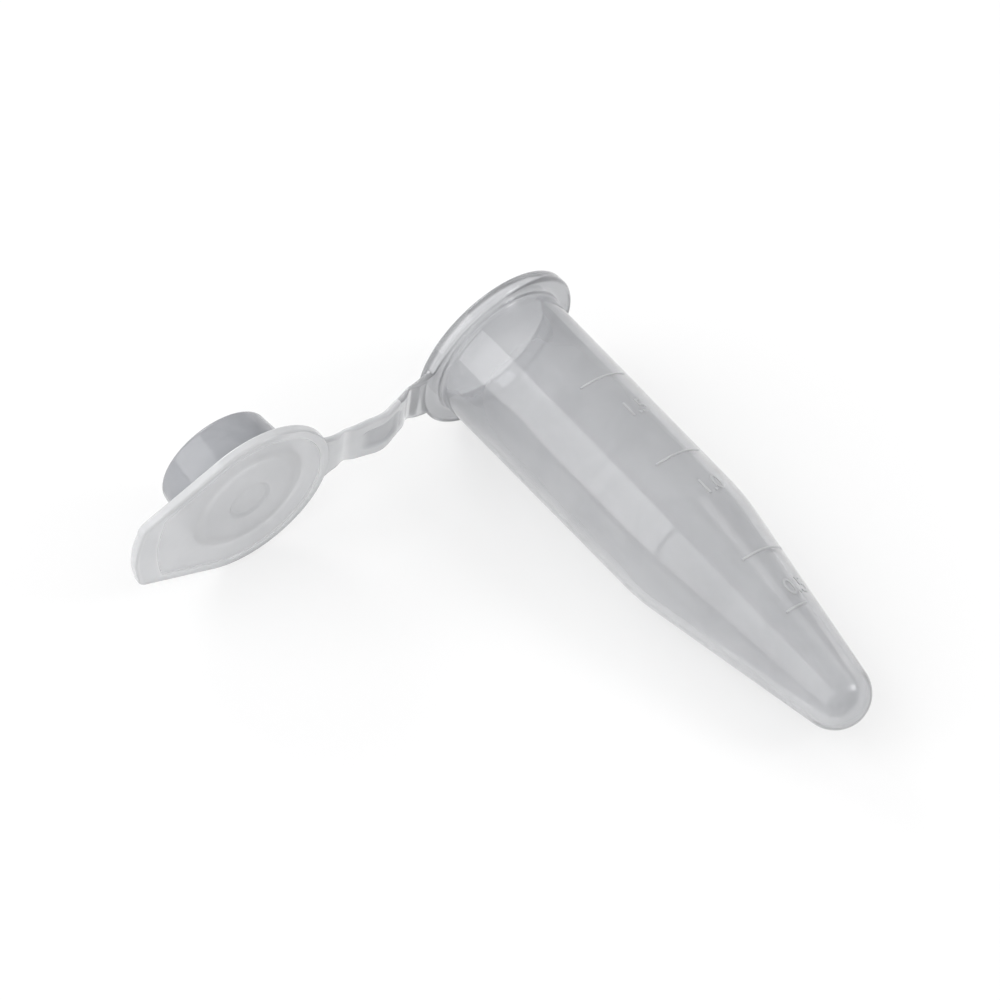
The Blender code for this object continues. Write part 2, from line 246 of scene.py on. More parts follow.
class PlasticLook(bpy.types.PropertyGroup):
    """Look of the undyed polypropylene."""

    tone: colour("Tone", "Colour of its lightest places", (0.95, 0.955, 0.965))
    deep_tone: colour("Deep tone", "Colour of its most shaded places", (0.30, 0.31, 0.335))
    # Painted highlight: a low share lightens the cap's rounded edges, its border's slope and the
    # crest of its faint ring
    edge_shade: deep_share("Edge shade", "the rounded edges", 0.2)
    # Painted shade: these shares darken the tube most at its mouth and collar, and least down its
    # cone
    collar_shade: deep_share("Collar shade", "the collar", 0.5)
    upper_shade: deep_share("Upper shade", "the wall under the collar", 0.37)
    mouth_shade: deep_share("Mouth shade", "the wall at the mouth", 0.6)
    lower_shade: deep_share("Lower shade", "the wall of the cone", 0.30)
    tip_shade: deep_share("Tip shade", "the round tip", 0.38)
    strap_shade: deep_share("Strap shade", "the strap", 0.32)
    # Painted shade: darkens the strap's recess by its depth
    pocket_shade: share("Recess shade", "More of the deep tone in the strap's recess", 0.26)
    # Painted light: lightens the strap's creases
    crease_shade: share("Crease shade", "Less of the deep tone in the strap's creases", 0.22)
    border_shade: deep_share("Border shade", "the cap's border", 0.30)
    field_shade: deep_share("Field shade", "the cap's face", 0.27)
    scale_shade: deep_share("Scale shade", "the moulded scale", 0.38)
    # Painted shade: darkens the plug
    plug_shade: deep_share("Plug shade", "the plug", 0.86)
    cloud: share("Cloudiness", "How much the flow marks darken the plastic", 0.06)
    flow_scale: number("Flow scale", "How close together the flow marks lie", 240.0)
    grain_scale: number("Grain scale", "How fine the grain is", 1500.0)
    grain_strength: share("Grain strength", "How much the grain bends the light", 0.04)
    grain_depth: length("Grain depth", "Depth of the grain", 0.02)
    wall_roughness: share("Wall roughness", "Roughness of the tube's wall", 0.05)
    thick_roughness: share("Thick roughness", "Roughness of collar, strap and cap", 0.13)
    rough_spread: share("Roughness spread", "How much the roughness wanders", 0.02)
    frosted: share("Frosted roughness", "Roughness of the cap's writing face", 0.32)
    wall_clearness: share("Wall clearness", "Light that passes clearly through the tube", 0.69)
    thick_clearness: share("Thick clearness", "Clear light through collar, strap and cap", 0.4)
    ior: number("Refraction", "Index of refraction", 1.49)


class StageLook(bpy.types.PropertyGroup):
    """The floor, the lights and the camera."""

    floor_tone: colour("Floor tone", "Colour of the floor", (0.88, 0.88, 0.88))
    floor_glow: share("Floor whiteness", "Share of plain white in the floor as seen", 0.6)
    floor_roughness: share("Floor roughness", "Roughness of the floor", 0.9)
    floor_gloss: share("Floor gloss", "Specular level of the floor", 0.1)
    floor_radius: length("Floor radius", "Radius of the round floor", 2500.0)
    sky: number("Sky", "Radiance of the room all round", 0.62)
    softbox: number("Softbox", "Radiance of the softbox", 2.1)
    low_card: number("Card", "Radiance of the card under the softbox", 1.4)
    top_light: number("Top light", "Radiance of the light over the mouth", 5.7)
    strip_light: number("Strip light", "Radiance of the strip over the cone", 1.2)
    tip_light: number("Tip light", "Radiance of the small light past the tip", 6.0)
    distance: length("Camera distance", "From the camera to the mouth", 400.0)
    lens: number("Lens", "Focal length in millimetres", 203.0)


GROUPS = (BodySizes, StrapSizes, CapSizes, ScaleSizes, PlasticLook, StageLook)
GROUP_NAMES = ("tube_body", "tube_strap", "tube_cap", "tube_scale", "tube_plastic", "tube_stage")


def sizes(name):
    """One of the property groups kept on the scene."""
    return getattr(bpy.context.scene, name)


# Places read from the frame

def joint_point(name):
    """The place of a crease, from the frame."""
    return Vector(next(j["pos_m"] for j in frame["joints"] if j["name"] == name))


def mount_axis(name):
    """The outward direction of a flat face, from the frame."""
    mounts = frame["record"]["mounts"]
    return Vector(next(m["axis"] for m in mounts if m["name"] == name)).normalized()


def turned_to(origin, x, y, z):
    """A place at an origin, with these three directions as its axes."""
    matrix = Matrix((x, y, z)).transposed().to_4x4()
    matrix.translation = origin
    return matrix


def face_place(origin, outwards, across):
    """A place whose +Z is outwards and whose +Y is across."""
    x = across.cross(outwards).normalized()
    return turned_to(origin, x, outwards.cross(x), outwards)


def strap_half_place(start, end, across):
    """A place at start, +X towards end and +Y across."""
    x = (end - start).normalized()
    return turned_to(start, x, across, x.cross(across).normalized())


def places(body, strap):
    """The places of the tube, the strap's root and both its halves, and the cap."""
    across = -Vector(frame["joints"][0]["axis"]).normalized()
    collar_crease = joint_point("collar_crease")
    bend = joint_point("strap_bend")
    cap_crease = joint_point("cap_crease")
    root = face_place(collar_crease, mount_axis("collar_top"), across)
    to_mouth = Matrix.Translation((-strap.reach, 0.0, body.collar_thickness - strap.thickness))
    return {
        "tube": root @ to_mouth,
        "root": root,
        "near": strap_half_place(collar_crease, bend, across),
        "far": strap_half_place(bend, cap_crease, across),
        "cap": face_place(cap_crease, -mount_axis("cap_outer_face"), across),
    }


class Plan:
    """The sizes, look and places that the pieces share."""

    def __init__(self):
        self.body = body = sizes("tube_body")
        self.strap = strap = sizes("tube_strap")
        self.cap = cap = sizes("tube_cap")
        self.look = sizes("tube_plastic")
        self.spots = places(body, strap)
        # Distances along the strap
        self.far_crease = 2.0 * strap.half
        self.collar_end = body.collar_radius - strap.reach
        self.cap_end = self.far_crease + strap.reach - cap.radius
        self.first_seam = strap.pocket_start + SEAM_PAST_POCKET
        self.second_seam = self.far_crease - self.first_seam


# Plain geometry

def held(value):
    """The value, held between 0 and 1."""
    return min(1.0, max(0.0, value))


def smooth(value):
    """Eased step from 0 to 1."""
    t = held(value)
    return t * t * (3.0 - 2.0 * t)


def parts(steps):
    """Even shares of a whole, without 0."""
    return [step / steps for step in range(1, steps + 1)]


def arc(centre, radius, start, end, steps):
    """Points of an arc in a half section, as (radius, height), angles in radians."""
    points = []
    for step in range(steps + 1):
        angle = start + (end - start) * step / steps
        points.append((centre[0] + radius * math.cos(angle), centre[1] + radius * math.sin(angle)))
    return points


def run(start, end, steps):
    """Points of a straight run, without its start."""
    return [tuple(a + (b - a) * part for a, b in zip(start, end)) for part in parts(steps)]


def add_row(bm, points, *marks):
    """A row of vertices, each with these marks, given as a layer and a value."""
    row = [bm.verts.new(point) for point in points]
    for vertex in row:
        for layer, value in marks:
            vertex[layer] = value
    return row


def bridge(bm, lower, upper, skipped=()):
    """Joins two closed rings of vertices with faces, but for the skipped columns."""
    total = len(lower)
    faces = []
    for i in range(total):
        if i not in skipped:
            j = (i + 1) % total
            faces.append(bm.faces.new((lower[i], lower[j], upper[j], upper[i])))
    return faces


def fan(bm, ring, pole):
    """Closes a ring of vertices to one point."""
    for i, vertex in enumerate(ring):
        bm.faces.new((vertex, ring[(i + 1) % len(ring)], pole))


def window_loop(stack, rows, columns):
    """The edge of an opening left in a stack of rings, from its first column to its last."""
    low, high = rows
    first, last = columns[0], columns[-1]
    loop = [stack[high][column] for column in columns]
    loop += [stack[row][last] for row in range(high - 1, low, -1)]
    loop += [stack[low][column] for column in reversed(columns)]
    loop += [stack[row][first] for row in range(low + 1, high)]
    return loop


def finish_mesh(bm, name):
    """Drops stray points, turns the faces outwards and makes a smooth-shaded mesh."""
    stray = [vertex for vertex in bm.verts if not vertex.link_faces]
    bmesh.ops.delete(bm, geom=stray, context="VERTS")
    bmesh.ops.recalc_face_normals(bm, faces=bm.faces)
    mesh = bpy.data.meshes.new(name)
    bm.to_mesh(mesh)
    bm.free()
    mesh.shade_smooth()
    mesh.set_sharp_from_angle(angle=SKIN_SHARP)
    return mesh


def add_object(name, data):
    """A new object in the scene."""
    made = bpy.data.objects.new(name, data)
    bpy.context.scene.collection.objects.link(made)
    return made


def add_piece(name, mesh, *materials):
    """A finished piece at the origin, in its plastics."""
    piece = add_object(name, mesh)
    mesh.materials.clear()
    for material in materials:
        mesh.materials.append(material)
    return piece


# The strap

def strap_half_width(plan, distance):
    """Half the strap's width, wider in its middle and at the collar and the cap."""
    strap = plan.strap
    along = held(distance / plan.far_crease)
    from_collar = held((distance - plan.collar_end) / strap.root_run)
    from_cap = held((plan.cap_end - distance) / strap.end_run)
    half = strap.width / 2.0 + strap.belly * math.sin(math.pi * along) ** 2
    half += strap.root_flare * (1.0 - from_collar) ** 2
    return half + strap.end_flare * (1.0 - from_cap) ** 2


def crease_share(plan, distance):
    """How far the strap is into one of its two creases, from 0 to 1."""
    gap = min(abs(distance), abs(distance - plan.far_crease))
    return 1.0 - smooth(gap / plan.strap.crease_run)


def pocket_depth(plan, distance, across, half):
    """Depth of the recess at a point of the strap's ribbed face."""
    strap = plan.strap
    slope = strap.pocket * POCKET_SLOPE
    along = min(distance, plan.far_crease - distance) - strap.pocket_start
    aside = half - strap.rail - abs(across)
    missing = math.hypot(max(0.0, 1.0 - along / (2.0 * slope)), max(0.0, 1.0 - aside / slope))
    return strap.pocket * smooth(1.0 - missing)


def strap_section(plan, distance, half):
    """One closed section: flat face, first side, ribbed face and second side."""
    strap = plan.strap
    thick = strap.thickness - (strap.thickness - strap.crease) * crease_share(plan, distance)
    edge = thick / 2.0
    inner = half - edge * SIDE_SHARE
    side = []
    for step in range(1, strap.rows + 1):
        angle = math.pi * step / (strap.rows + 1)
        out = inner + (half - inner) * math.sin(angle)
        side.append((out, edge * (math.cos(angle) - 1.0)))
    last = 2 * strap.columns
    middle = [inner * (2.0 * i / last - 1.0) for i in range(last + 1)]
    points = [(distance, y, 0.0) for y in middle]
    points += [(distance, y, z) for y, z in side]
    for y in reversed(middle):
        points.append((distance, y, pocket_depth(plan, distance, y, half) - thick))
    points += [(distance, -y, z) for y, z in reversed(side)]
    return points


def strap_place(plan, point):
    """Where a point of the unrolled strap lies with the cap open."""
    strap, spots = plan.strap, plan.spots
    distance, across, height = point
    spans = (("near", 0.0, strap.joint_run), ("far", strap.half, strap.fold_run),
             ("cap", plan.far_crease, strap.joint_run))
    placed = spots["root"] @ Vector(point)
    for name, start, bend in spans:
        here = spots[name] @ Vector((distance - start, across, height))
        placed = placed.lerp(here, smooth((distance - start + bend) / (2.0 * bend)))
    return placed


def skin_strap(bm, plan, start, end, step, loop=None, slot=0):
    """Skins the strap between two distances, on from a loop of vertices if there is one."""
    strap, look = plan.strap, plan.look
    shades = bm.verts.layers.float.get("shade") or bm.verts.layers.float.new("shade")
    steps = max(2, round(abs(end - start) / step))
    previous = loop
    for i in range(steps + 1):
        distance = start + (end - start) * i / steps
        half = strap_half_width(plan, distance)
        # Painted light: the creases get less of the deep tone
        plain = look.strap_shade - look.crease_shade * crease_share(plan, distance)
        current = []
        for point in strap_section(plan, distance, half):
            # Painted shade in the recess, by its depth
            sunk = pocket_depth(plan, distance, point[1], half) / strap.pocket
            shade = plain + look.pocket_shade * sunk
            current += add_row(bm, [strap_place(plan, point)], (shades, shade))
        if previous:
            for face in bridge(bm, previous, current):
                face.material_index = slot
        previous = current


def fold_mesh(plan):
    """The strap between its two seams."""
    bm = bmesh.new()
    skin_strap(bm, plan, plan.first_seam, plan.second_seam, FOLD_STEP)
    return finish_mesh(bm, "strap_moulding")


# The turned tube

def cone_angle(shoulder_radius, tip_radius, drop):
    """Half angle of a cone from the shoulder that runs tangent into the round tip."""
    slant = math.hypot(shoulder_radius, drop)
    return math.acos(tip_radius / slant) - math.atan2(drop, shoulder_radius)


def mouth_radius(body):
    """Inner radius of the widened mouth."""
    return body.top_radius - body.wall + body.funnel


def vessel_profile(top, shoulder, tip_radius, tip_centre, blend):
    """Half section of one skin, from the axis at the tip up to its top point."""
    cone = cone_angle(shoulder[0], tip_radius, shoulder[1] - tip_centre)
    draft = math.atan2(top[0] - shoulder[0], top[1] - shoulder[1])
    tangent = blend * math.tan((cone - draft) / 2)
    start = (shoulder[0] - tangent * math.sin(cone), shoulder[1] - tangent * math.cos(cone))
    centre = (start[0] - blend * math.cos(cone), start[1] + blend * math.sin(cone))
    points = arc((0.0, tip_centre), tip_radius, -QUARTER, -cone, TIP_ROWS)[1:]
    points += run(points[-1], start, CONE_ROWS)
    points += arc(centre, blend, -cone, -draft, SHOULDER_ROWS)[1:]
    points += run(points[-1], top, BODY_ROWS)
    return points


def tube_profile(body, strap):
    """Half section of the tube, with the rows of its thick plastic and of the strap.

    The thick plastic runs from the middle of the fillet round the collar into the mouth.
    """
    edge, fillet, under = body.collar_edge, body.root_fillet, -body.collar_thickness
    collar, mouth = body.collar_radius, mouth_radius(body)
    tip_centre = body.tip_radius - body.tube_length
    top = (body.top_radius, under - fillet)
    shoulder = (body.shoulder_radius, -body.shoulder_depth)
    points = vessel_profile(top, shoulder, body.tip_radius, tip_centre, body.shoulder_blend)
    thick_start = len(points) - 1 + FILLET_ROWS // 2
    points += arc((top[0] + fillet, top[1]), fillet, math.pi, QUARTER, FILLET_ROWS)[1:]
    points += run(points[-1], (collar - edge, under), COLLAR_ROWS)
    strap_start = len(points) - 1
    points += arc((collar - edge, under + edge), edge, -QUARTER, 0.0, EDGE_ROWS)[1:]
    over_strap = (collar, under + strap.thickness + STRAP_CLEARANCE)
    points += run(points[-1], over_strap, strap.rows + 1 - EDGE_ROWS)
    strap_end = len(points) - 1
    points += run(points[-1], (collar, -edge), LIP_ROWS)
    points += arc((collar - edge, -edge), edge, 0.0, QUARTER, EDGE_ROWS)[1:]
    points += run(points[-1], (mouth + edge, 0.0), COLLAR_ROWS)
    points += arc((mouth + edge, -edge), edge, QUARTER, math.pi, EDGE_ROWS)[1:]
    thick_end = len(points) - 1 - BORE_ROWS
    inner_top = (body.top_radius - body.wall, -body.funnel_depth)
    points += run(points[-1], inner_top, FUNNEL_ROWS)
    inner_shoulder = (body.shoulder_radius - body.wall, -body.shoulder_depth)
    inner = vessel_profile(inner_top, inner_shoulder, body.tip_radius - body.tip_wall, tip_centre,
                           body.shoulder_blend - body.wall)
    points += inner[-2::-1]
    return points, (thick_start, thick_end), (strap_start, strap_end)


def tube_shade(body, look, radius, height):
    """Share of the deep tone on the tube's skin: painted shade, darkest at the mouth and collar
    and lightest down the cone, and a painted highlight on the mouth's inner edge.
    """
    in_collar = smooth((height + body.collar_thickness + COLLAR_FADE) / COLLAR_FADE)
    in_cone = smooth(-height / body.shoulder_depth)
    in_mouth = 1.0 - smooth(-height / MOUTH_FADE)
    in_tip = smooth((body.tip_radius - body.tube_length - height) / body.tip_radius)
    # Painted shade, darkest at the mouth and the collar and lightest down the cone
    shade = look.upper_shade + (look.lower_shade - look.upper_shade) * in_cone
    shade += (look.tip_shade - shade) * in_tip + (look.mouth_shade - shade) * in_mouth
    shade += (look.collar_shade - shade) * in_collar
    # Painted highlight: no deep tone at the mouth's inner edge, fading in over a short reach
    return shade * smooth(math.hypot(radius - mouth_radius(body), height) / RIM_HIGHLIGHT_FADE)


def tube_mesh(plan):
    """The tube with the strap's root, up to the first seam."""
    body, strap, look = plan.body, plan.strap, plan.look
    bm = bmesh.new()
    shades = bm.verts.layers.float.new("shade")
    profile, thick_rows, strap_rows = tube_profile(body, strap)
    angles = [2.0 * math.pi * i / body.turns for i in range(body.turns)]
    stack = []
    for radius, height in profile:
        points = [(radius * math.cos(a), radius * math.sin(a), height) for a in angles]
        stack.append(add_row(bm, points, (shades, tube_shade(body, look, radius, height))))
    columns = [i % body.turns for i in range(-strap.columns, strap.columns + 1)]
    for row, (lower, upper) in enumerate(zip(stack, stack[1:])):
        in_window = strap_rows[0] <= row < strap_rows[1]
        for face in bridge(bm, lower, upper, columns[:-1] if in_window else ()):
            face.material_index = int(thick_rows[0] <= row < thick_rows[1])
    bottom = -body.tube_length
    for ring, height in ((stack[0], bottom), (stack[-1], body.tip_wall + bottom)):
        shade = tube_shade(body, look, 0.0, height)
        fan(bm, ring, *add_row(bm, [(0.0, 0.0, height)], (shades, shade)))
    bm.transform(plan.spots["tube"])
    loop = window_loop(stack, strap_rows, columns)
    skin_strap(bm, plan, plan.collar_end + ROOT_STEP, plan.first_seam, END_STEP, loop, 1)
    return finish_mesh(bm, "tube_moulding")


# The cap

def tab_slope(radius, reach, half_width):
    """Angle at which the tab's sides leave the cap's round edge."""
    corner = math.hypot(reach, half_width)
    return math.atan2(reach, half_width) - math.acos(radius / corner)


def cap_outline(cap, inset, front_inset):
    """The cap's edge, moved inwards, as (x, y) round its middle."""
    slope = tab_slope(cap.radius, cap.tab_reach, cap.tab_width / 2)
    radius = cap.radius - inset
    corner = max(cap.tab_corner - inset / 2, cap.tab_corner_least)
    corner_x = cap.tab_reach - front_inset - corner
    corner_y = (radius - corner - corner_x * math.sin(slope)) / math.cos(slope)
    leave = QUARTER - slope
    points = arc((0.0, 0.0), radius, leave, 2 * math.pi - leave, ROUND_STEPS)
    lower = arc((corner_x, -corner_y), corner, -leave, 0.0, CORNER_STEPS)
    upper = arc((corner_x, corner_y), corner, 0.0, leave, CORNER_STEPS)
    first = points[0]
    points += run(points[-1], lower[0], TAB_STEPS)[:-1] + lower
    for x, y in run(lower[-1], upper[0], TAB_STEPS)[:-1]:
        points.append((x + cap.tab_bulge * (1.0 - (y / corner_y) ** 2), y))
    points += upper + run(upper[-1], first, TAB_STEPS)[:-1]
    return points


def mixed(inner, outer, part):
    """Points between two outlines."""
    return [(a + (c - a) * part, b + (d - b) * part) for (a, b), (c, d) in zip(inner, outer)]


def plug_profile(cap, face):
    """Half section of the hollow plug, from its outer root round its end to its floor."""
    fillet, end_round, end = cap.plug_fillet, cap.plug_round, face + cap.plug_height
    root = (cap.plug_radius + fillet, face + fillet)
    points = arc(root, fillet, -QUARTER, -math.pi, PLUG_FILLET_ROWS)[1:]
    for part in (0.0, *parts(BEAD_ROWS)):
        height = cap.bead_from_face + cap.bead_half * (2 * part - 1)
        points.append((cap.plug_radius + cap.bead * math.sin(math.pi * part) ** 2, face + height))
    outer = cap.plug_radius - cap.plug_taper - end_round
    points += run(points[-1], (outer + end_round, end - end_round), PLUG_SIDE_ROWS)
    points += arc((outer, end - end_round), end_round, 0.0, QUARTER, PLUG_END_ROWS)[1:]
    inside, lip = cap.plug_radius - cap.plug_wall, end_round / 2
    points += arc((inside + lip, end - lip), lip, QUARTER, math.pi, PLUG_LIP_ROWS)
    points += run(points[-1], (inside, face + fillet), PLUG_WALL_ROWS)
    points += arc((inside - fillet, face + fillet), fillet, 0.0, -QUARTER, PLUG_FILLET_ROWS)[1:]
    points += run(points[-1], (PLUG_CENTRE, face), PLUG_FLOOR_ROWS)
    return points


def cap_rings(cap, look, side_rows):
    """The cap's rings from its outer face to the plug's floor, and the rows of its edge.

    A ring is (outline, height, shade, frost). The shade paints highlights on the edges, the
    border's slope and the faint ring's crest, and shade on the plug.
    """
    face = cap.stub_below
    outside = face - cap.thickness
    field = outside + cap.border_height
    field_tone, border_tone, edge_highlight_tone = look.field_shade, look.border_shade, look.edge_shade
    edge = cap_outline(cap, 0.0, 0.0)
    angles = [math.atan2(y, x) for x, y in edge]
    rings = []

    def add(outline, height, tone, frost=0.0):
        rings.append((outline, height, tone, frost))

    def circle(radius):
        return [(radius * math.cos(a), radius * math.sin(a)) for a in angles]

    def border(inset):
        wider = (cap.tab_border - cap.border) * smooth(inset / cap.border)
        return cap_outline(cap, inset, inset + wider)

    flat = cap.dimple_radius - cap.dimple_run
    for part in parts(FIELD_ROWS):
        add(circle(flat * part), field + cap.dimple_depth, field_tone, 1.0)
    for part in parts(SLOPE_ROWS):
        depth = cap.dimple_depth * (1 - smooth(part))
        add(circle(flat + cap.dimple_run * part), field + depth, field_tone, 1.0)
    ring_in = cap.plug_radius - cap.plug_wall - SINK_SPREAD
    ring_out = cap.plug_radius + SINK_SPREAD
    for part in parts(FIELD_ROWS):
        radius = cap.dimple_radius + (ring_in - cap.dimple_radius) * part
        add(circle(radius), field, field_tone, 1.0)
    for part in parts(SLOPE_ROWS):
        # Painted highlight: the faint ring's crest takes the lighter edge tone
        crest = math.sin(math.pi * part) ** 2
        tone = field_tone + (edge_highlight_tone - field_tone) * crest
        add(circle(ring_in + (ring_out - ring_in) * part), field + cap.sink * crest, tone, 1.0)
    foot = border(cap.border + cap.border_height)
    for part in parts(FIELD_ROWS):
        add(mixed(circle(ring_out), foot, part), field, field_tone, 1.0)
    # Painted highlight on the slope between the field and the border
    for part in parts(BORDER_ROWS):
        inset = cap.border + cap.border_height * (1.0 - part)
        add(border(inset), field - cap.border_height * smooth(part), edge_highlight_tone, 1.0 - part)
    for part in BORDER_PARTS:
        add(border(cap.border + (cap.edge - cap.border) * part), outside, border_tone)
    # Painted highlight on the cap's rounded edge and side
    low, high = outside + cap.edge, face - cap.edge
    for x, z in arc((cap.edge, low), cap.edge, -QUARTER, -math.pi, CAP_EDGE_ROWS)[1:]:
        add(border(x), z, edge_highlight_tone)
    low_row = len(rings) - 1
    for _, z in run((0.0, low), (0.0, high), side_rows):
        add(edge, z, edge_highlight_tone)
    high_row = len(rings) - 1
    for x, z in arc((cap.edge, high), cap.edge, math.pi, QUARTER, CAP_EDGE_ROWS)[1:]:
        add(cap_outline(cap, x, x), z, edge_highlight_tone)
    inner_edge = rings[-1][0]
    plug_foot = circle(cap.plug_radius + cap.plug_fillet)
    for part in parts(INNER_ROWS):
        add(mixed(inner_edge, plug_foot, part), face, border_tone)
    # Painted shade: the plug's wall is darkened
    for radius, z in plug_profile(cap, face):
        in_wall = smooth((radius - cap.plug_radius + cap.plug_wall) / PLUG_FADE)
        in_wall *= smooth((z - face) / PLUG_FOOT_FADE)
        add(circle(radius), z, border_tone + (look.plug_shade - border_tone) * in_wall)
    return rings, (low_row, high_row)


def cap_mesh(plan):
    """The cap with its plug and the strap's end, from the second seam."""
    strap, cap = plan.strap, plan.cap
    bm = bmesh.new()
    shades = bm.verts.layers.float.new("shade")
    frosts = bm.verts.layers.float.new("frost")
    rings, strap_rows = cap_rings(cap, plan.look, strap.rows + 1)
    stack = []
    for outline, height, shade, frost in rings:
        points = [(strap.reach + x, y, height) for x, y in outline]
        stack.append(add_row(bm, points, (shades, shade), (frosts, frost)))
    middle = ROUND_STEPS // 2
    columns = list(range(middle + strap.columns, middle - strap.columns - 1, -1))
    for row, (lower, upper) in enumerate(zip(stack, stack[1:])):
        in_window = strap_rows[0] <= row < strap_rows[1]
        bridge(bm, lower, upper, columns[1:] if in_window else ())
    face = cap.stub_below
    dimple = face - cap.thickness + cap.border_height + cap.dimple_depth
    for ring, height in ((stack[0], dimple), (stack[-1], face)):
        marks = (shades, ring[0][shades]), (frosts, ring[0][frosts])
        fan(bm, ring, *add_row(bm, [(strap.reach, 0.0, height)], *marks))
    bm.transform(plan.spots["cap"])
    loop = window_loop(stack, strap_rows, columns)
    skin_strap(bm, plan, plan.cap_end - ROOT_STEP, plan.second_seam, END_STEP, loop)
    return finish_mesh(bm, "cap_moulding")


# Nodes

class NodeKit:
    """Adds nodes to a tree and feeds their inputs."""

    def __init__(self, tree):
        self.nodes, self.links = tree.nodes, tree.links

    def feed(self, node, inputs):
        """Feeds a node's inputs with values or outputs, or one input with a list of outputs."""
        for label, value in inputs.items():
            for one in value if isinstance(value, list) else [value]:
                if isinstance(one, bpy.types.NodeSocket):
                    self.links.new(one, node.inputs[label])
                else:
                    node.inputs[label].default_value = one

    def add(self, kind, inputs=(), **settings):
        """The outputs of a new node with these inputs and settings."""
        node = self.nodes.new(kind)
        for label, value in settings.items():
            setattr(node, label, value)
        self.feed(node, dict(inputs))
        return node.outputs

    def maths(self, operation, *values, **settings):
        """The result of a Math node."""
        return self.add("ShaderNodeMath", enumerate(values), operation=operation, **settings)[0]

    def vector(self, *values):
        """A vector of three values."""
        return self.add("ShaderNodeCombineXYZ", enumerate(values))[0]


def add_sockets(group, in_out, kind, *labels):
    """Named sockets of one kind on a node group."""
    for label in labels:
        group.interface.new_socket(label, in_out=in_out, socket_type="NodeSocket" + kind)


# Plastic

def moulded_skin_group():
    """Shader group of a moulded skin: painted shade and highlights, cloudy flow marks, wandering
    gloss and a fine grain.
    """
    name = "Moulded skin"
    if name in bpy.data.node_groups:
        return bpy.data.node_groups[name]
    group = bpy.data.node_groups.new(name, "ShaderNodeTree")
    add_sockets(group, "INPUT", "Vector", "Vector")
    add_sockets(group, "INPUT", "Float", "Shade", "Frost", "Flow Scale", "Grain Scale", "Cloud",
                "Roughness", "Roughness Spread", "Frosted Roughness")
    add_sockets(group, "INPUT", "Color", "Tone", "Deep Tone")
    add_sockets(group, "OUTPUT", "Color", "Colour")
    add_sockets(group, "OUTPUT", "Float", "Roughness", "Height")
    kit = NodeKit(group)
    source = kit.add("NodeGroupInput")
    flow = kit.add("ShaderNodeTexNoise", {
        "Vector": source["Vector"], "Scale": source["Flow Scale"], "Detail": FLOW_DETAIL,
        "Distortion": FLOW_TWIST})["Fac"]
    eased = kit.add("ShaderNodeMapRange", {
        "Value": flow, "From Min": FLOW_START, "From Max": FLOW_END,
    }, interpolation_type="SMOOTHSTEP")["Result"]
    # The Shade input mixes painted shade and painted highlights into the colour; the flow marks
    # cloud it
    clouded = kit.maths("MULTIPLY_ADD", eased, source["Cloud"], source["Shade"], use_clamp=True)
    tint = kit.add("ShaderNodeMix", {
        "Factor": clouded, "A": source["Tone"], "B": source["Deep Tone"]}, data_type="RGBA")
    gloss = kit.maths("MULTIPLY_ADD", flow, source["Roughness Spread"], source["Roughness"])
    frosting = kit.add("ShaderNodeMix", {
        "Factor": source["Frost"], "A": gloss, "B": source["Frosted Roughness"]})
    grain = kit.add("ShaderNodeTexNoise", {
        "Vector": source["Vector"], "Scale": source["Grain Scale"], "Detail": GRAIN_DETAIL})
    kit.add("NodeGroupOutput", {
        "Colour": tint["Result"], "Roughness": frosting["Result"], "Height": grain["Fac"]})
    return group


def polypropylene(name, look, clearness, roughness):
    """Undyed, translucent polypropylene. Its mesh may carry a "shade" mark, which paints shade and
    highlights, and a "frost" mark.
    """
    if name in bpy.data.materials:
        return bpy.data.materials[name]
    material = bpy.data.materials.new(name)
    material.use_nodes = True
    kit = NodeKit(material.node_tree)
    skin = kit.add("ShaderNodeGroup", {
        "Vector": kit.add("ShaderNodeTexCoord")["Object"],
        "Shade": kit.add("ShaderNodeAttribute", attribute_name="shade")["Fac"],
        "Frost": kit.add("ShaderNodeAttribute", attribute_name="frost")["Fac"],
        "Flow Scale": look.flow_scale, "Grain Scale": look.grain_scale, "Cloud": look.cloud,
        "Roughness": roughness, "Roughness Spread": look.rough_spread,
        "Frosted Roughness": look.frosted,
        "Tone": (*look.tone, 1.0), "Deep Tone": (*look.deep_tone, 1.0),
    }, node_tree=moulded_skin_group())
    bump = kit.add("ShaderNodeBump", {
        "Strength": look.grain_strength, "Distance": look.grain_depth, "Height": skin["Height"]})
    kit.feed(kit.nodes["Principled BSDF"], {
        "Base Color": skin["Colour"], "Roughness": skin["Roughness"], "Normal": bump["Normal"],
        "IOR": look.ior, "Transmission Weight": clearness})
    return material


def clear_plastic(look):
    """The plastic of the tube's wall."""
    return polypropylene("clear_polypropylene", look, look.wall_clearness, look.wall_roughness)


def milky_plastic(look):
    """The plastic of the collar, the strap, the cap and the scale."""
    return polypropylene("milky_polypropylene", look, look.thick_clearness, look.thick_roughness)


# The moulded scale

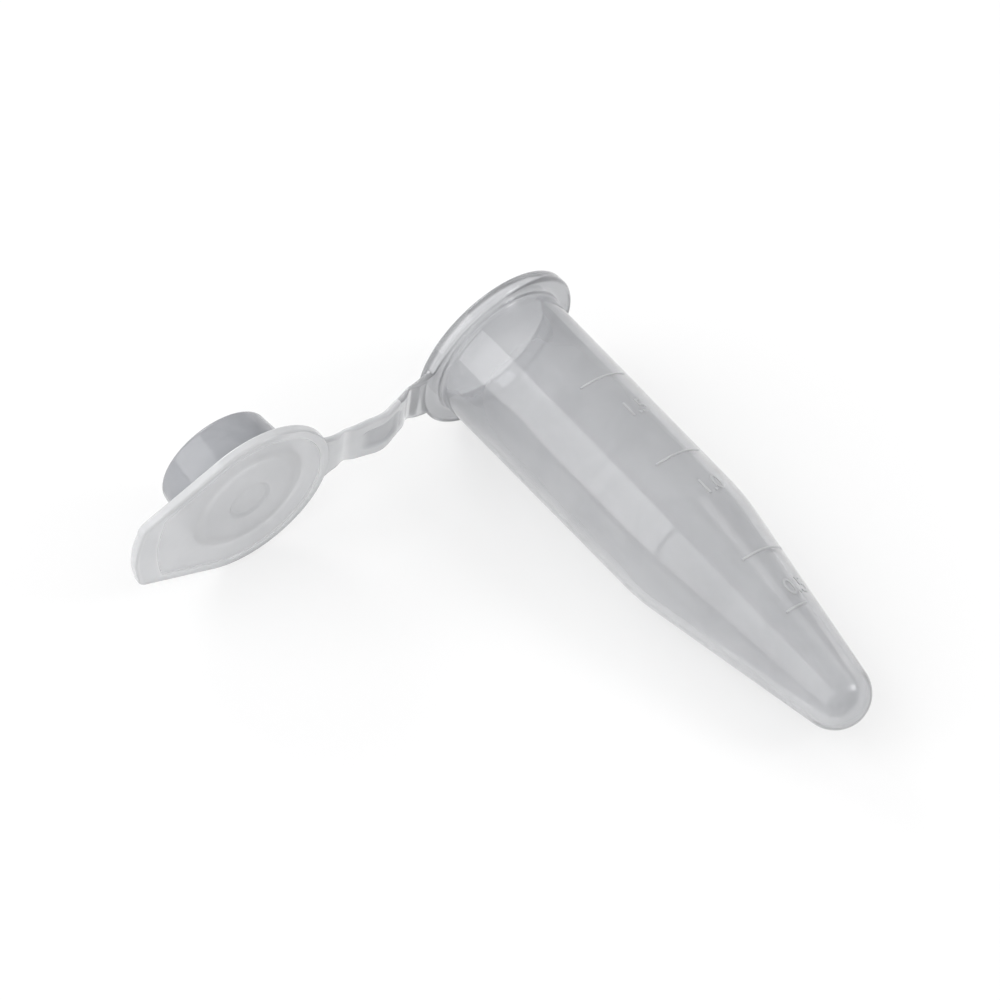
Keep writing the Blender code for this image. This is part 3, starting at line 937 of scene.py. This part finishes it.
def numeral_solid(kit, source, height, numeral):
    """A numeral drawn flat under its line, half sunk in the skin."""
    words = kit.add("GeometryNodeStringToCurves", {
        "String": numeral, "Size": source["Numeral Height"]})
    loose = kit.add("GeometryNodeRealizeInstances", {"Geometry": words["Curve Instances"]})
    dense = kit.add("GeometryNodeResampleCurve", {
        "Count": NUMERAL_POINTS, "Curve": loose["Geometry"]})
    filled = kit.add("GeometryNodeFillCurve", {"Curve": dense["Curve"]})["Mesh"]
    raised = kit.add("GeometryNodeExtrudeMesh", {
        "Mesh": filled, "Individual": False, "Offset": kit.vector(0.0, 0.0, 1.0),
        "Offset Scale": kit.maths("MULTIPLY", source["Relief"], 2.0)})
    under = kit.add("GeometryNodeFlipFaces", {"Mesh": filled})
    solid = kit.add("GeometryNodeJoinGeometry", {"Geometry": [raised["Mesh"], under["Mesh"]]})
    closed = kit.add("GeometryNodeMergeByDistance", {
        "Distance": WELD, "Geometry": solid["Geometry"]})
    foot = kit.maths("SUBTRACT", height, source["Drop"])
    sunk = kit.maths("MULTIPLY", source["Relief"], -1.0)
    return kit.add("GeometryNodeTransform", {
        "Geometry": closed["Geometry"],
        "Translation": kit.vector(source["Shift"], foot, sunk)})["Geometry"]


def scale_group():
    """Geometry Nodes group: raised lines and numerals, drawn flat and then laid on the tube.

    Flat X is the way round the tube, flat Y the height, and flat Z the relief.
    """
    group = bpy.data.node_groups.new("Volume scale", "GeometryNodeTree")
    add_sockets(group, "INPUT", "Geometry", "Geometry")
    add_sockets(group, "INPUT", "Float", "Line Radius", "Numeral Height", "Relief", "Drop",
                "Shift", "Long Line", "Short Line", "Bearing", "Top Radius",
                "Shoulder Radius", "Shoulder Height", "Cone Slope", "Shade")
    add_sockets(group, "INPUT", "Material", "Plastic")
    add_sockets(group, "OUTPUT", "Geometry", "Geometry")
    kit = NodeKit(group)
    source = kit.add("NodeGroupInput")
    round_bar = kit.add("GeometryNodeCurvePrimitiveCircle", {
        "Resolution": LINE_SIDES, "Radius": source["Line Radius"]})
    sunk = kit.maths("MULTIPLY", source["Line Radius"], -0.5)
    pieces = []
    for height, numeral in MARKS:
        reach = source["Long Line"] if numeral else source["Short Line"]
        line = kit.add("GeometryNodeCurvePrimitiveLine", {
            "Start": kit.vector(0.0, height, sunk), "End": kit.vector(reach, height, sunk)})
        fine = kit.add("GeometryNodeResampleCurve", {
            "Count": LINE_POINTS, "Curve": line["Curve"]})
        bar = kit.add("GeometryNodeCurveToMesh", {
            "Fill Caps": True, "Curve": fine["Curve"], "Profile Curve": round_bar["Curve"]})
        pieces.append(bar["Mesh"])
        if numeral:
            pieces.append(numeral_solid(kit, source, height, numeral))
    flat = kit.add("GeometryNodeJoinGeometry", {"Geometry": pieces})

    position = kit.add("GeometryNodeInputPosition")["Position"]
    spot = kit.add("ShaderNodeSeparateXYZ", {"Vector": position})
    on_body = kit.add("ShaderNodeMapRange", {
        "Value": spot["Y"], "From Min": source["Shoulder Height"], "From Max": 0.0,
        "To Min": source["Shoulder Radius"], "To Max": source["Top Radius"]}, clamp=False)
    below = kit.maths("SUBTRACT", spot["Y"], source["Shoulder Height"])
    on_cone = kit.maths("MULTIPLY_ADD", below, source["Cone Slope"], source["Shoulder Radius"])
    skin = kit.maths("MINIMUM", on_body["Result"], on_cone)
    radius = kit.maths("ADD", skin, spot["Z"])
    angle = kit.maths("ADD", kit.maths("DIVIDE", spot["X"], skin), source["Bearing"])
    x = kit.maths("MULTIPLY", radius, kit.maths("COSINE", angle))
    y = kit.maths("MULTIPLY", radius, kit.maths("SINE", angle))
    rolled = kit.add("GeometryNodeSetPosition", {
        "Geometry": flat["Geometry"], "Position": kit.vector(x, y, spot["Y"])})
    shaded = kit.add("GeometryNodeStoreNamedAttribute", {
        "Name": "shade", "Value": source["Shade"], "Geometry": rolled["Geometry"],
    }, data_type="FLOAT", domain="POINT")
    real = kit.add("GeometryNodeRealizeInstances", {"Geometry": shaded["Geometry"]})
    painted = kit.add("GeometryNodeSetMaterial", {
        "Geometry": real["Geometry"], "Material": source["Plastic"]})
    kit.add("NodeGroupOutput", {"Geometry": painted["Geometry"]})
    return group


def grown_mesh(name, group, values):
    """The plain mesh that a Geometry Nodes group makes with these inputs."""
    seed = add_object(name + "_seed", bpy.data.meshes.new(name + "_seed"))
    modifier = seed.modifiers.new("Grow", "NODES")
    modifier.node_group = group
    for item in group.interface.items_tree:
        if item.in_out == "INPUT" and item.name in values:
            modifier[item.identifier] = values[item.name]
    seed.update_tag()
    bpy.context.view_layer.update()
    grown = seed.evaluated_get(bpy.context.evaluated_depsgraph_get())
    mesh = bpy.data.meshes.new_from_object(grown)
    bpy.data.objects.remove(seed)
    mesh.name = name
    return mesh


# Pieces

class TUBE_OT_add_body(bpy.types.Operator):
    """Adds the tube with its collar and the strap's root"""

    bl_idname = "conical_tube.add_body"
    bl_label = "Add tube"

    def execute(self, context):
        plan = Plan()
        clear, milky = clear_plastic(plan.look), milky_plastic(plan.look)
        piece = add_piece("tube_moulding", tube_mesh(plan), clear, milky)
        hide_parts("tube")
        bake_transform(piece)
        return {"FINISHED"}


class TUBE_OT_add_strap(bpy.types.Operator):
    """Adds the middle of the hinge strap"""

    bl_idname = "conical_tube.add_strap"
    bl_label = "Add strap"

    def execute(self, context):
        plan = Plan()
        piece = add_piece("strap_moulding", fold_mesh(plan), milky_plastic(plan.look))
        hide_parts("strap_tube_side", "strap_cap_side")
        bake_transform(piece)
        return {"FINISHED"}


class TUBE_OT_add_cap(bpy.types.Operator):
    """Adds the cap with its plug and the strap's end"""

    bl_idname = "conical_tube.add_cap"
    bl_label = "Add cap"

    def execute(self, context):
        plan = Plan()
        piece = add_piece("cap_moulding", cap_mesh(plan), milky_plastic(plan.look))
        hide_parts("cap")
        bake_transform(piece)
        return {"FINISHED"}


class TUBE_OT_add_scale(bpy.types.Operator):
    """Adds the moulded lines and numerals of the volume scale"""

    bl_idname = "conical_tube.add_scale"
    bl_label = "Add volume scale"

    def execute(self, context):
        plan, scale = Plan(), sizes("tube_scale")
        body, plastic = plan.body, milky_plastic(plan.look)
        tip_centre = body.tip_radius - body.tube_length
        drop = -body.shoulder_depth - tip_centre
        slope = math.tan(cone_angle(body.shoulder_radius, body.tip_radius, drop))
        values = {
            "Line Radius": scale.line, "Numeral Height": scale.numeral, "Relief": scale.relief,
            "Drop": scale.drop, "Shift": scale.shift, "Long Line": scale.long_line,
            "Short Line": scale.short_line, "Bearing": scale.bearing,
            "Top Radius": body.top_radius, "Shoulder Radius": body.shoulder_radius,
            "Shoulder Height": -body.shoulder_depth, "Cone Slope": slope,
            "Shade": plan.look.scale_shade, "Plastic": plastic,
        }
        mesh = grown_mesh("volume_scale", scale_group(), values)
        mesh.transform(plan.spots["tube"])
        mesh.shade_smooth()
        mesh.set_sharp_from_angle(angle=SCALE_SHARP)
        piece = add_piece("volume_scale", mesh, plastic)
        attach(piece, "tube")
        return {"FINISHED"}


# Stage

# Where the camera looks, in the tube's own frame, where in the picture the mouth lies, and
# the width of its sensor in millimetres
CAMERA_BEARING = math.radians(29.0)
CAMERA_DIP = math.radians(24.5)
TIP_HEADING = math.radians(45.5)
MOUTH_PIXEL = (489.6, 341.6)
IMAGE_SIZE = 1000.0
SENSOR = 36.0

# How finely the round floor is drawn
FLOOR_SIDES = 96

# Each light's name, which is also its radiance's, its bearing and elevation in degrees, and
# its width and height
LIGHTS = (
    ("softbox", 37.0, 30.0, 1.02, 0.73),
    ("low_card", 37.0, -8.0, 1.02, 0.56),
    ("top_light", 101.0, 65.0, 0.35, 0.35),
    ("strip_light", 127.0, -10.0, 0.30, 0.90),
    ("tip_light", 131.0, -34.0, 0.30, 0.28),
)


def camera_matrix(stage, mouth):
    """The camera's place: it looks at the tube from below its collar, rolled as photographed."""
    level = math.cos(CAMERA_DIP)
    toward = Vector((level * math.sin(CAMERA_BEARING), level * math.cos(CAMERA_BEARING),
                     -math.sin(CAMERA_DIP)))
    up = (UP - toward * UP.dot(toward)).normalized()
    right = up.cross(toward)
    turn = mouth.to_3x3()
    toward, up, right = turn @ toward, turn @ up, turn @ right
    cos, sin = math.cos(TIP_HEADING), math.sin(TIP_HEADING)
    facing = Matrix((right * sin - up * cos, right * cos + up * sin, toward)).transposed()
    pixels_per_unit = stage.lens / SENSOR * IMAGE_SIZE
    offset = Vector((MOUTH_PIXEL[0] - IMAGE_SIZE / 2, IMAGE_SIZE / 2 - MOUTH_PIXEL[1],
                     -pixels_per_unit))
    aim = Vector((0.0, 0.0, -1.0)).rotation_difference(offset.normalized())
    matrix = (facing @ aim.inverted().to_matrix()).to_4x4()
    matrix.translation = mouth.translation + toward * stage.distance
    return matrix


def add_area_light(name, mouth, bearing, elevation, width, height, radiance):
    """A soft panel one metre from the mouth, placed by degrees round it and over its plane."""
    lamp = bpy.data.lights.new(name, "AREA")
    lamp.shape = "RECTANGLE"
    lamp.size, lamp.size_y = width, height
    lamp.energy = radiance * math.pi * width * height
    bearing, elevation = math.radians(bearing), math.radians(elevation)
    flat = Vector((math.cos(bearing), math.sin(bearing), 0.0))
    back = mouth.to_3x3() @ (flat * math.cos(elevation) + UP * math.sin(elevation))
    side = mouth.col[2].to_3d().cross(back).normalized()
    place = turned_to(mouth.translation + back, side, back.cross(side), back)
    add_object(name, lamp).matrix_world = place


def floor_paint(stage):
    """Pale paint, whitened as far as the camera and the clear plastic see it."""
    paint = bpy.data.materials.new("pale_floor")
    paint.use_nodes = True
    kit = NodeKit(paint.node_tree)
    shader = kit.nodes["Principled BSDF"]
    kit.feed(shader, {"Base Color": (*stage.floor_tone, 1.0),
                      "Roughness": stage.floor_roughness, "Specular IOR Level": stage.floor_gloss})
    ray = kit.add("ShaderNodeLightPath")
    seen = kit.maths("MAXIMUM", ray["Is Camera Ray"], ray["Is Glossy Ray"])
    seen = kit.maths("MAXIMUM", seen, ray["Is Transmission Ray"])
    white = kit.add("ShaderNodeEmission")["Emission"]
    mix = kit.add("ShaderNodeMixShader", {
        "Fac": kit.maths("MULTIPLY", seen, stage.floor_glow),
        1: shader.outputs["BSDF"], 2: white})
    kit.feed(kit.nodes["Material Output"], {"Surface": mix["Shader"]})
    return paint


class TUBE_OT_add_stage(bpy.types.Operator):
    """Adds the floor, the lights and the camera"""

    bl_idname = "conical_tube.add_stage"
    bl_label = "Add stage"

    def execute(self, context):
        stage, mouth = sizes("tube_stage"), Plan().spots["tube"]
        scene = context.scene
        scene.view_settings.view_transform = "Standard"

        bm = bmesh.new()
        bmesh.ops.create_circle(bm, cap_ends=True, segments=FLOOR_SIDES,
                                radius=stage.floor_radius)
        mesh = bpy.data.meshes.new("floor")
        bm.to_mesh(mesh)
        bm.free()
        mesh.materials.append(floor_paint(stage))
        add_object("floor", mesh)

        world = bpy.data.worlds.new("studio")
        world.use_nodes = True
        sky = world.node_tree.nodes["Background"]
        sky.inputs["Color"].default_value = (1.0, 1.0, 1.0, 1.0)
        sky.inputs["Strength"].default_value = stage.sky
        scene.world = world

        for name, *placing in LIGHTS:
            add_area_light(name, mouth, *placing, getattr(stage, name))

        lens = bpy.data.cameras.new("camera")
        lens.lens = stage.lens
        lens.sensor_width = SENSOR
        lens.clip_start, lens.clip_end = 0.01, 10.0
        camera = add_object("camera", lens)
        camera.matrix_world = camera_matrix(stage, mouth)
        scene.camera = camera
        return {"FINISHED"}


class TUBE_PT_panel(bpy.types.Panel):
    """Lists the tube's steps in the sidebar"""

    bl_idname = "TUBE_PT_panel"
    bl_label = "Conical tube"
    bl_space_type = "VIEW_3D"
    bl_region_type = "UI"
    bl_category = "Conical tube"

    def draw(self, context):
        for step in STEPS:
            self.layout.operator(step.bl_idname)


STEPS = (TUBE_OT_add_body, TUBE_OT_add_strap, TUBE_OT_add_cap, TUBE_OT_add_scale,
         TUBE_OT_add_stage)
CLASSES = GROUPS + STEPS + (TUBE_PT_panel,)


def register():
    """Registers the classes and puts the property groups on the scene."""
    for cls in CLASSES:
        bpy.utils.register_class(cls)
    for name, group in zip(GROUP_NAMES, GROUPS):
        setattr(bpy.types.Scene, name, PointerProperty(type=group))


def unregister():
    """Takes back what register does."""
    for name in GROUP_NAMES:
        delattr(bpy.types.Scene, name)
    for cls in reversed(CLASSES):
        bpy.utils.unregister_class(cls)


def main():
    """Builds the pieces in order."""
    register()
    bpy.ops.conical_tube.add_body()
    bpy.ops.conical_tube.add_strap()
    bpy.ops.conical_tube.add_cap()
    bpy.ops.conical_tube.add_scale()
    bpy.ops.conical_tube.add_stage()


if __name__ == "__main__":
    main()
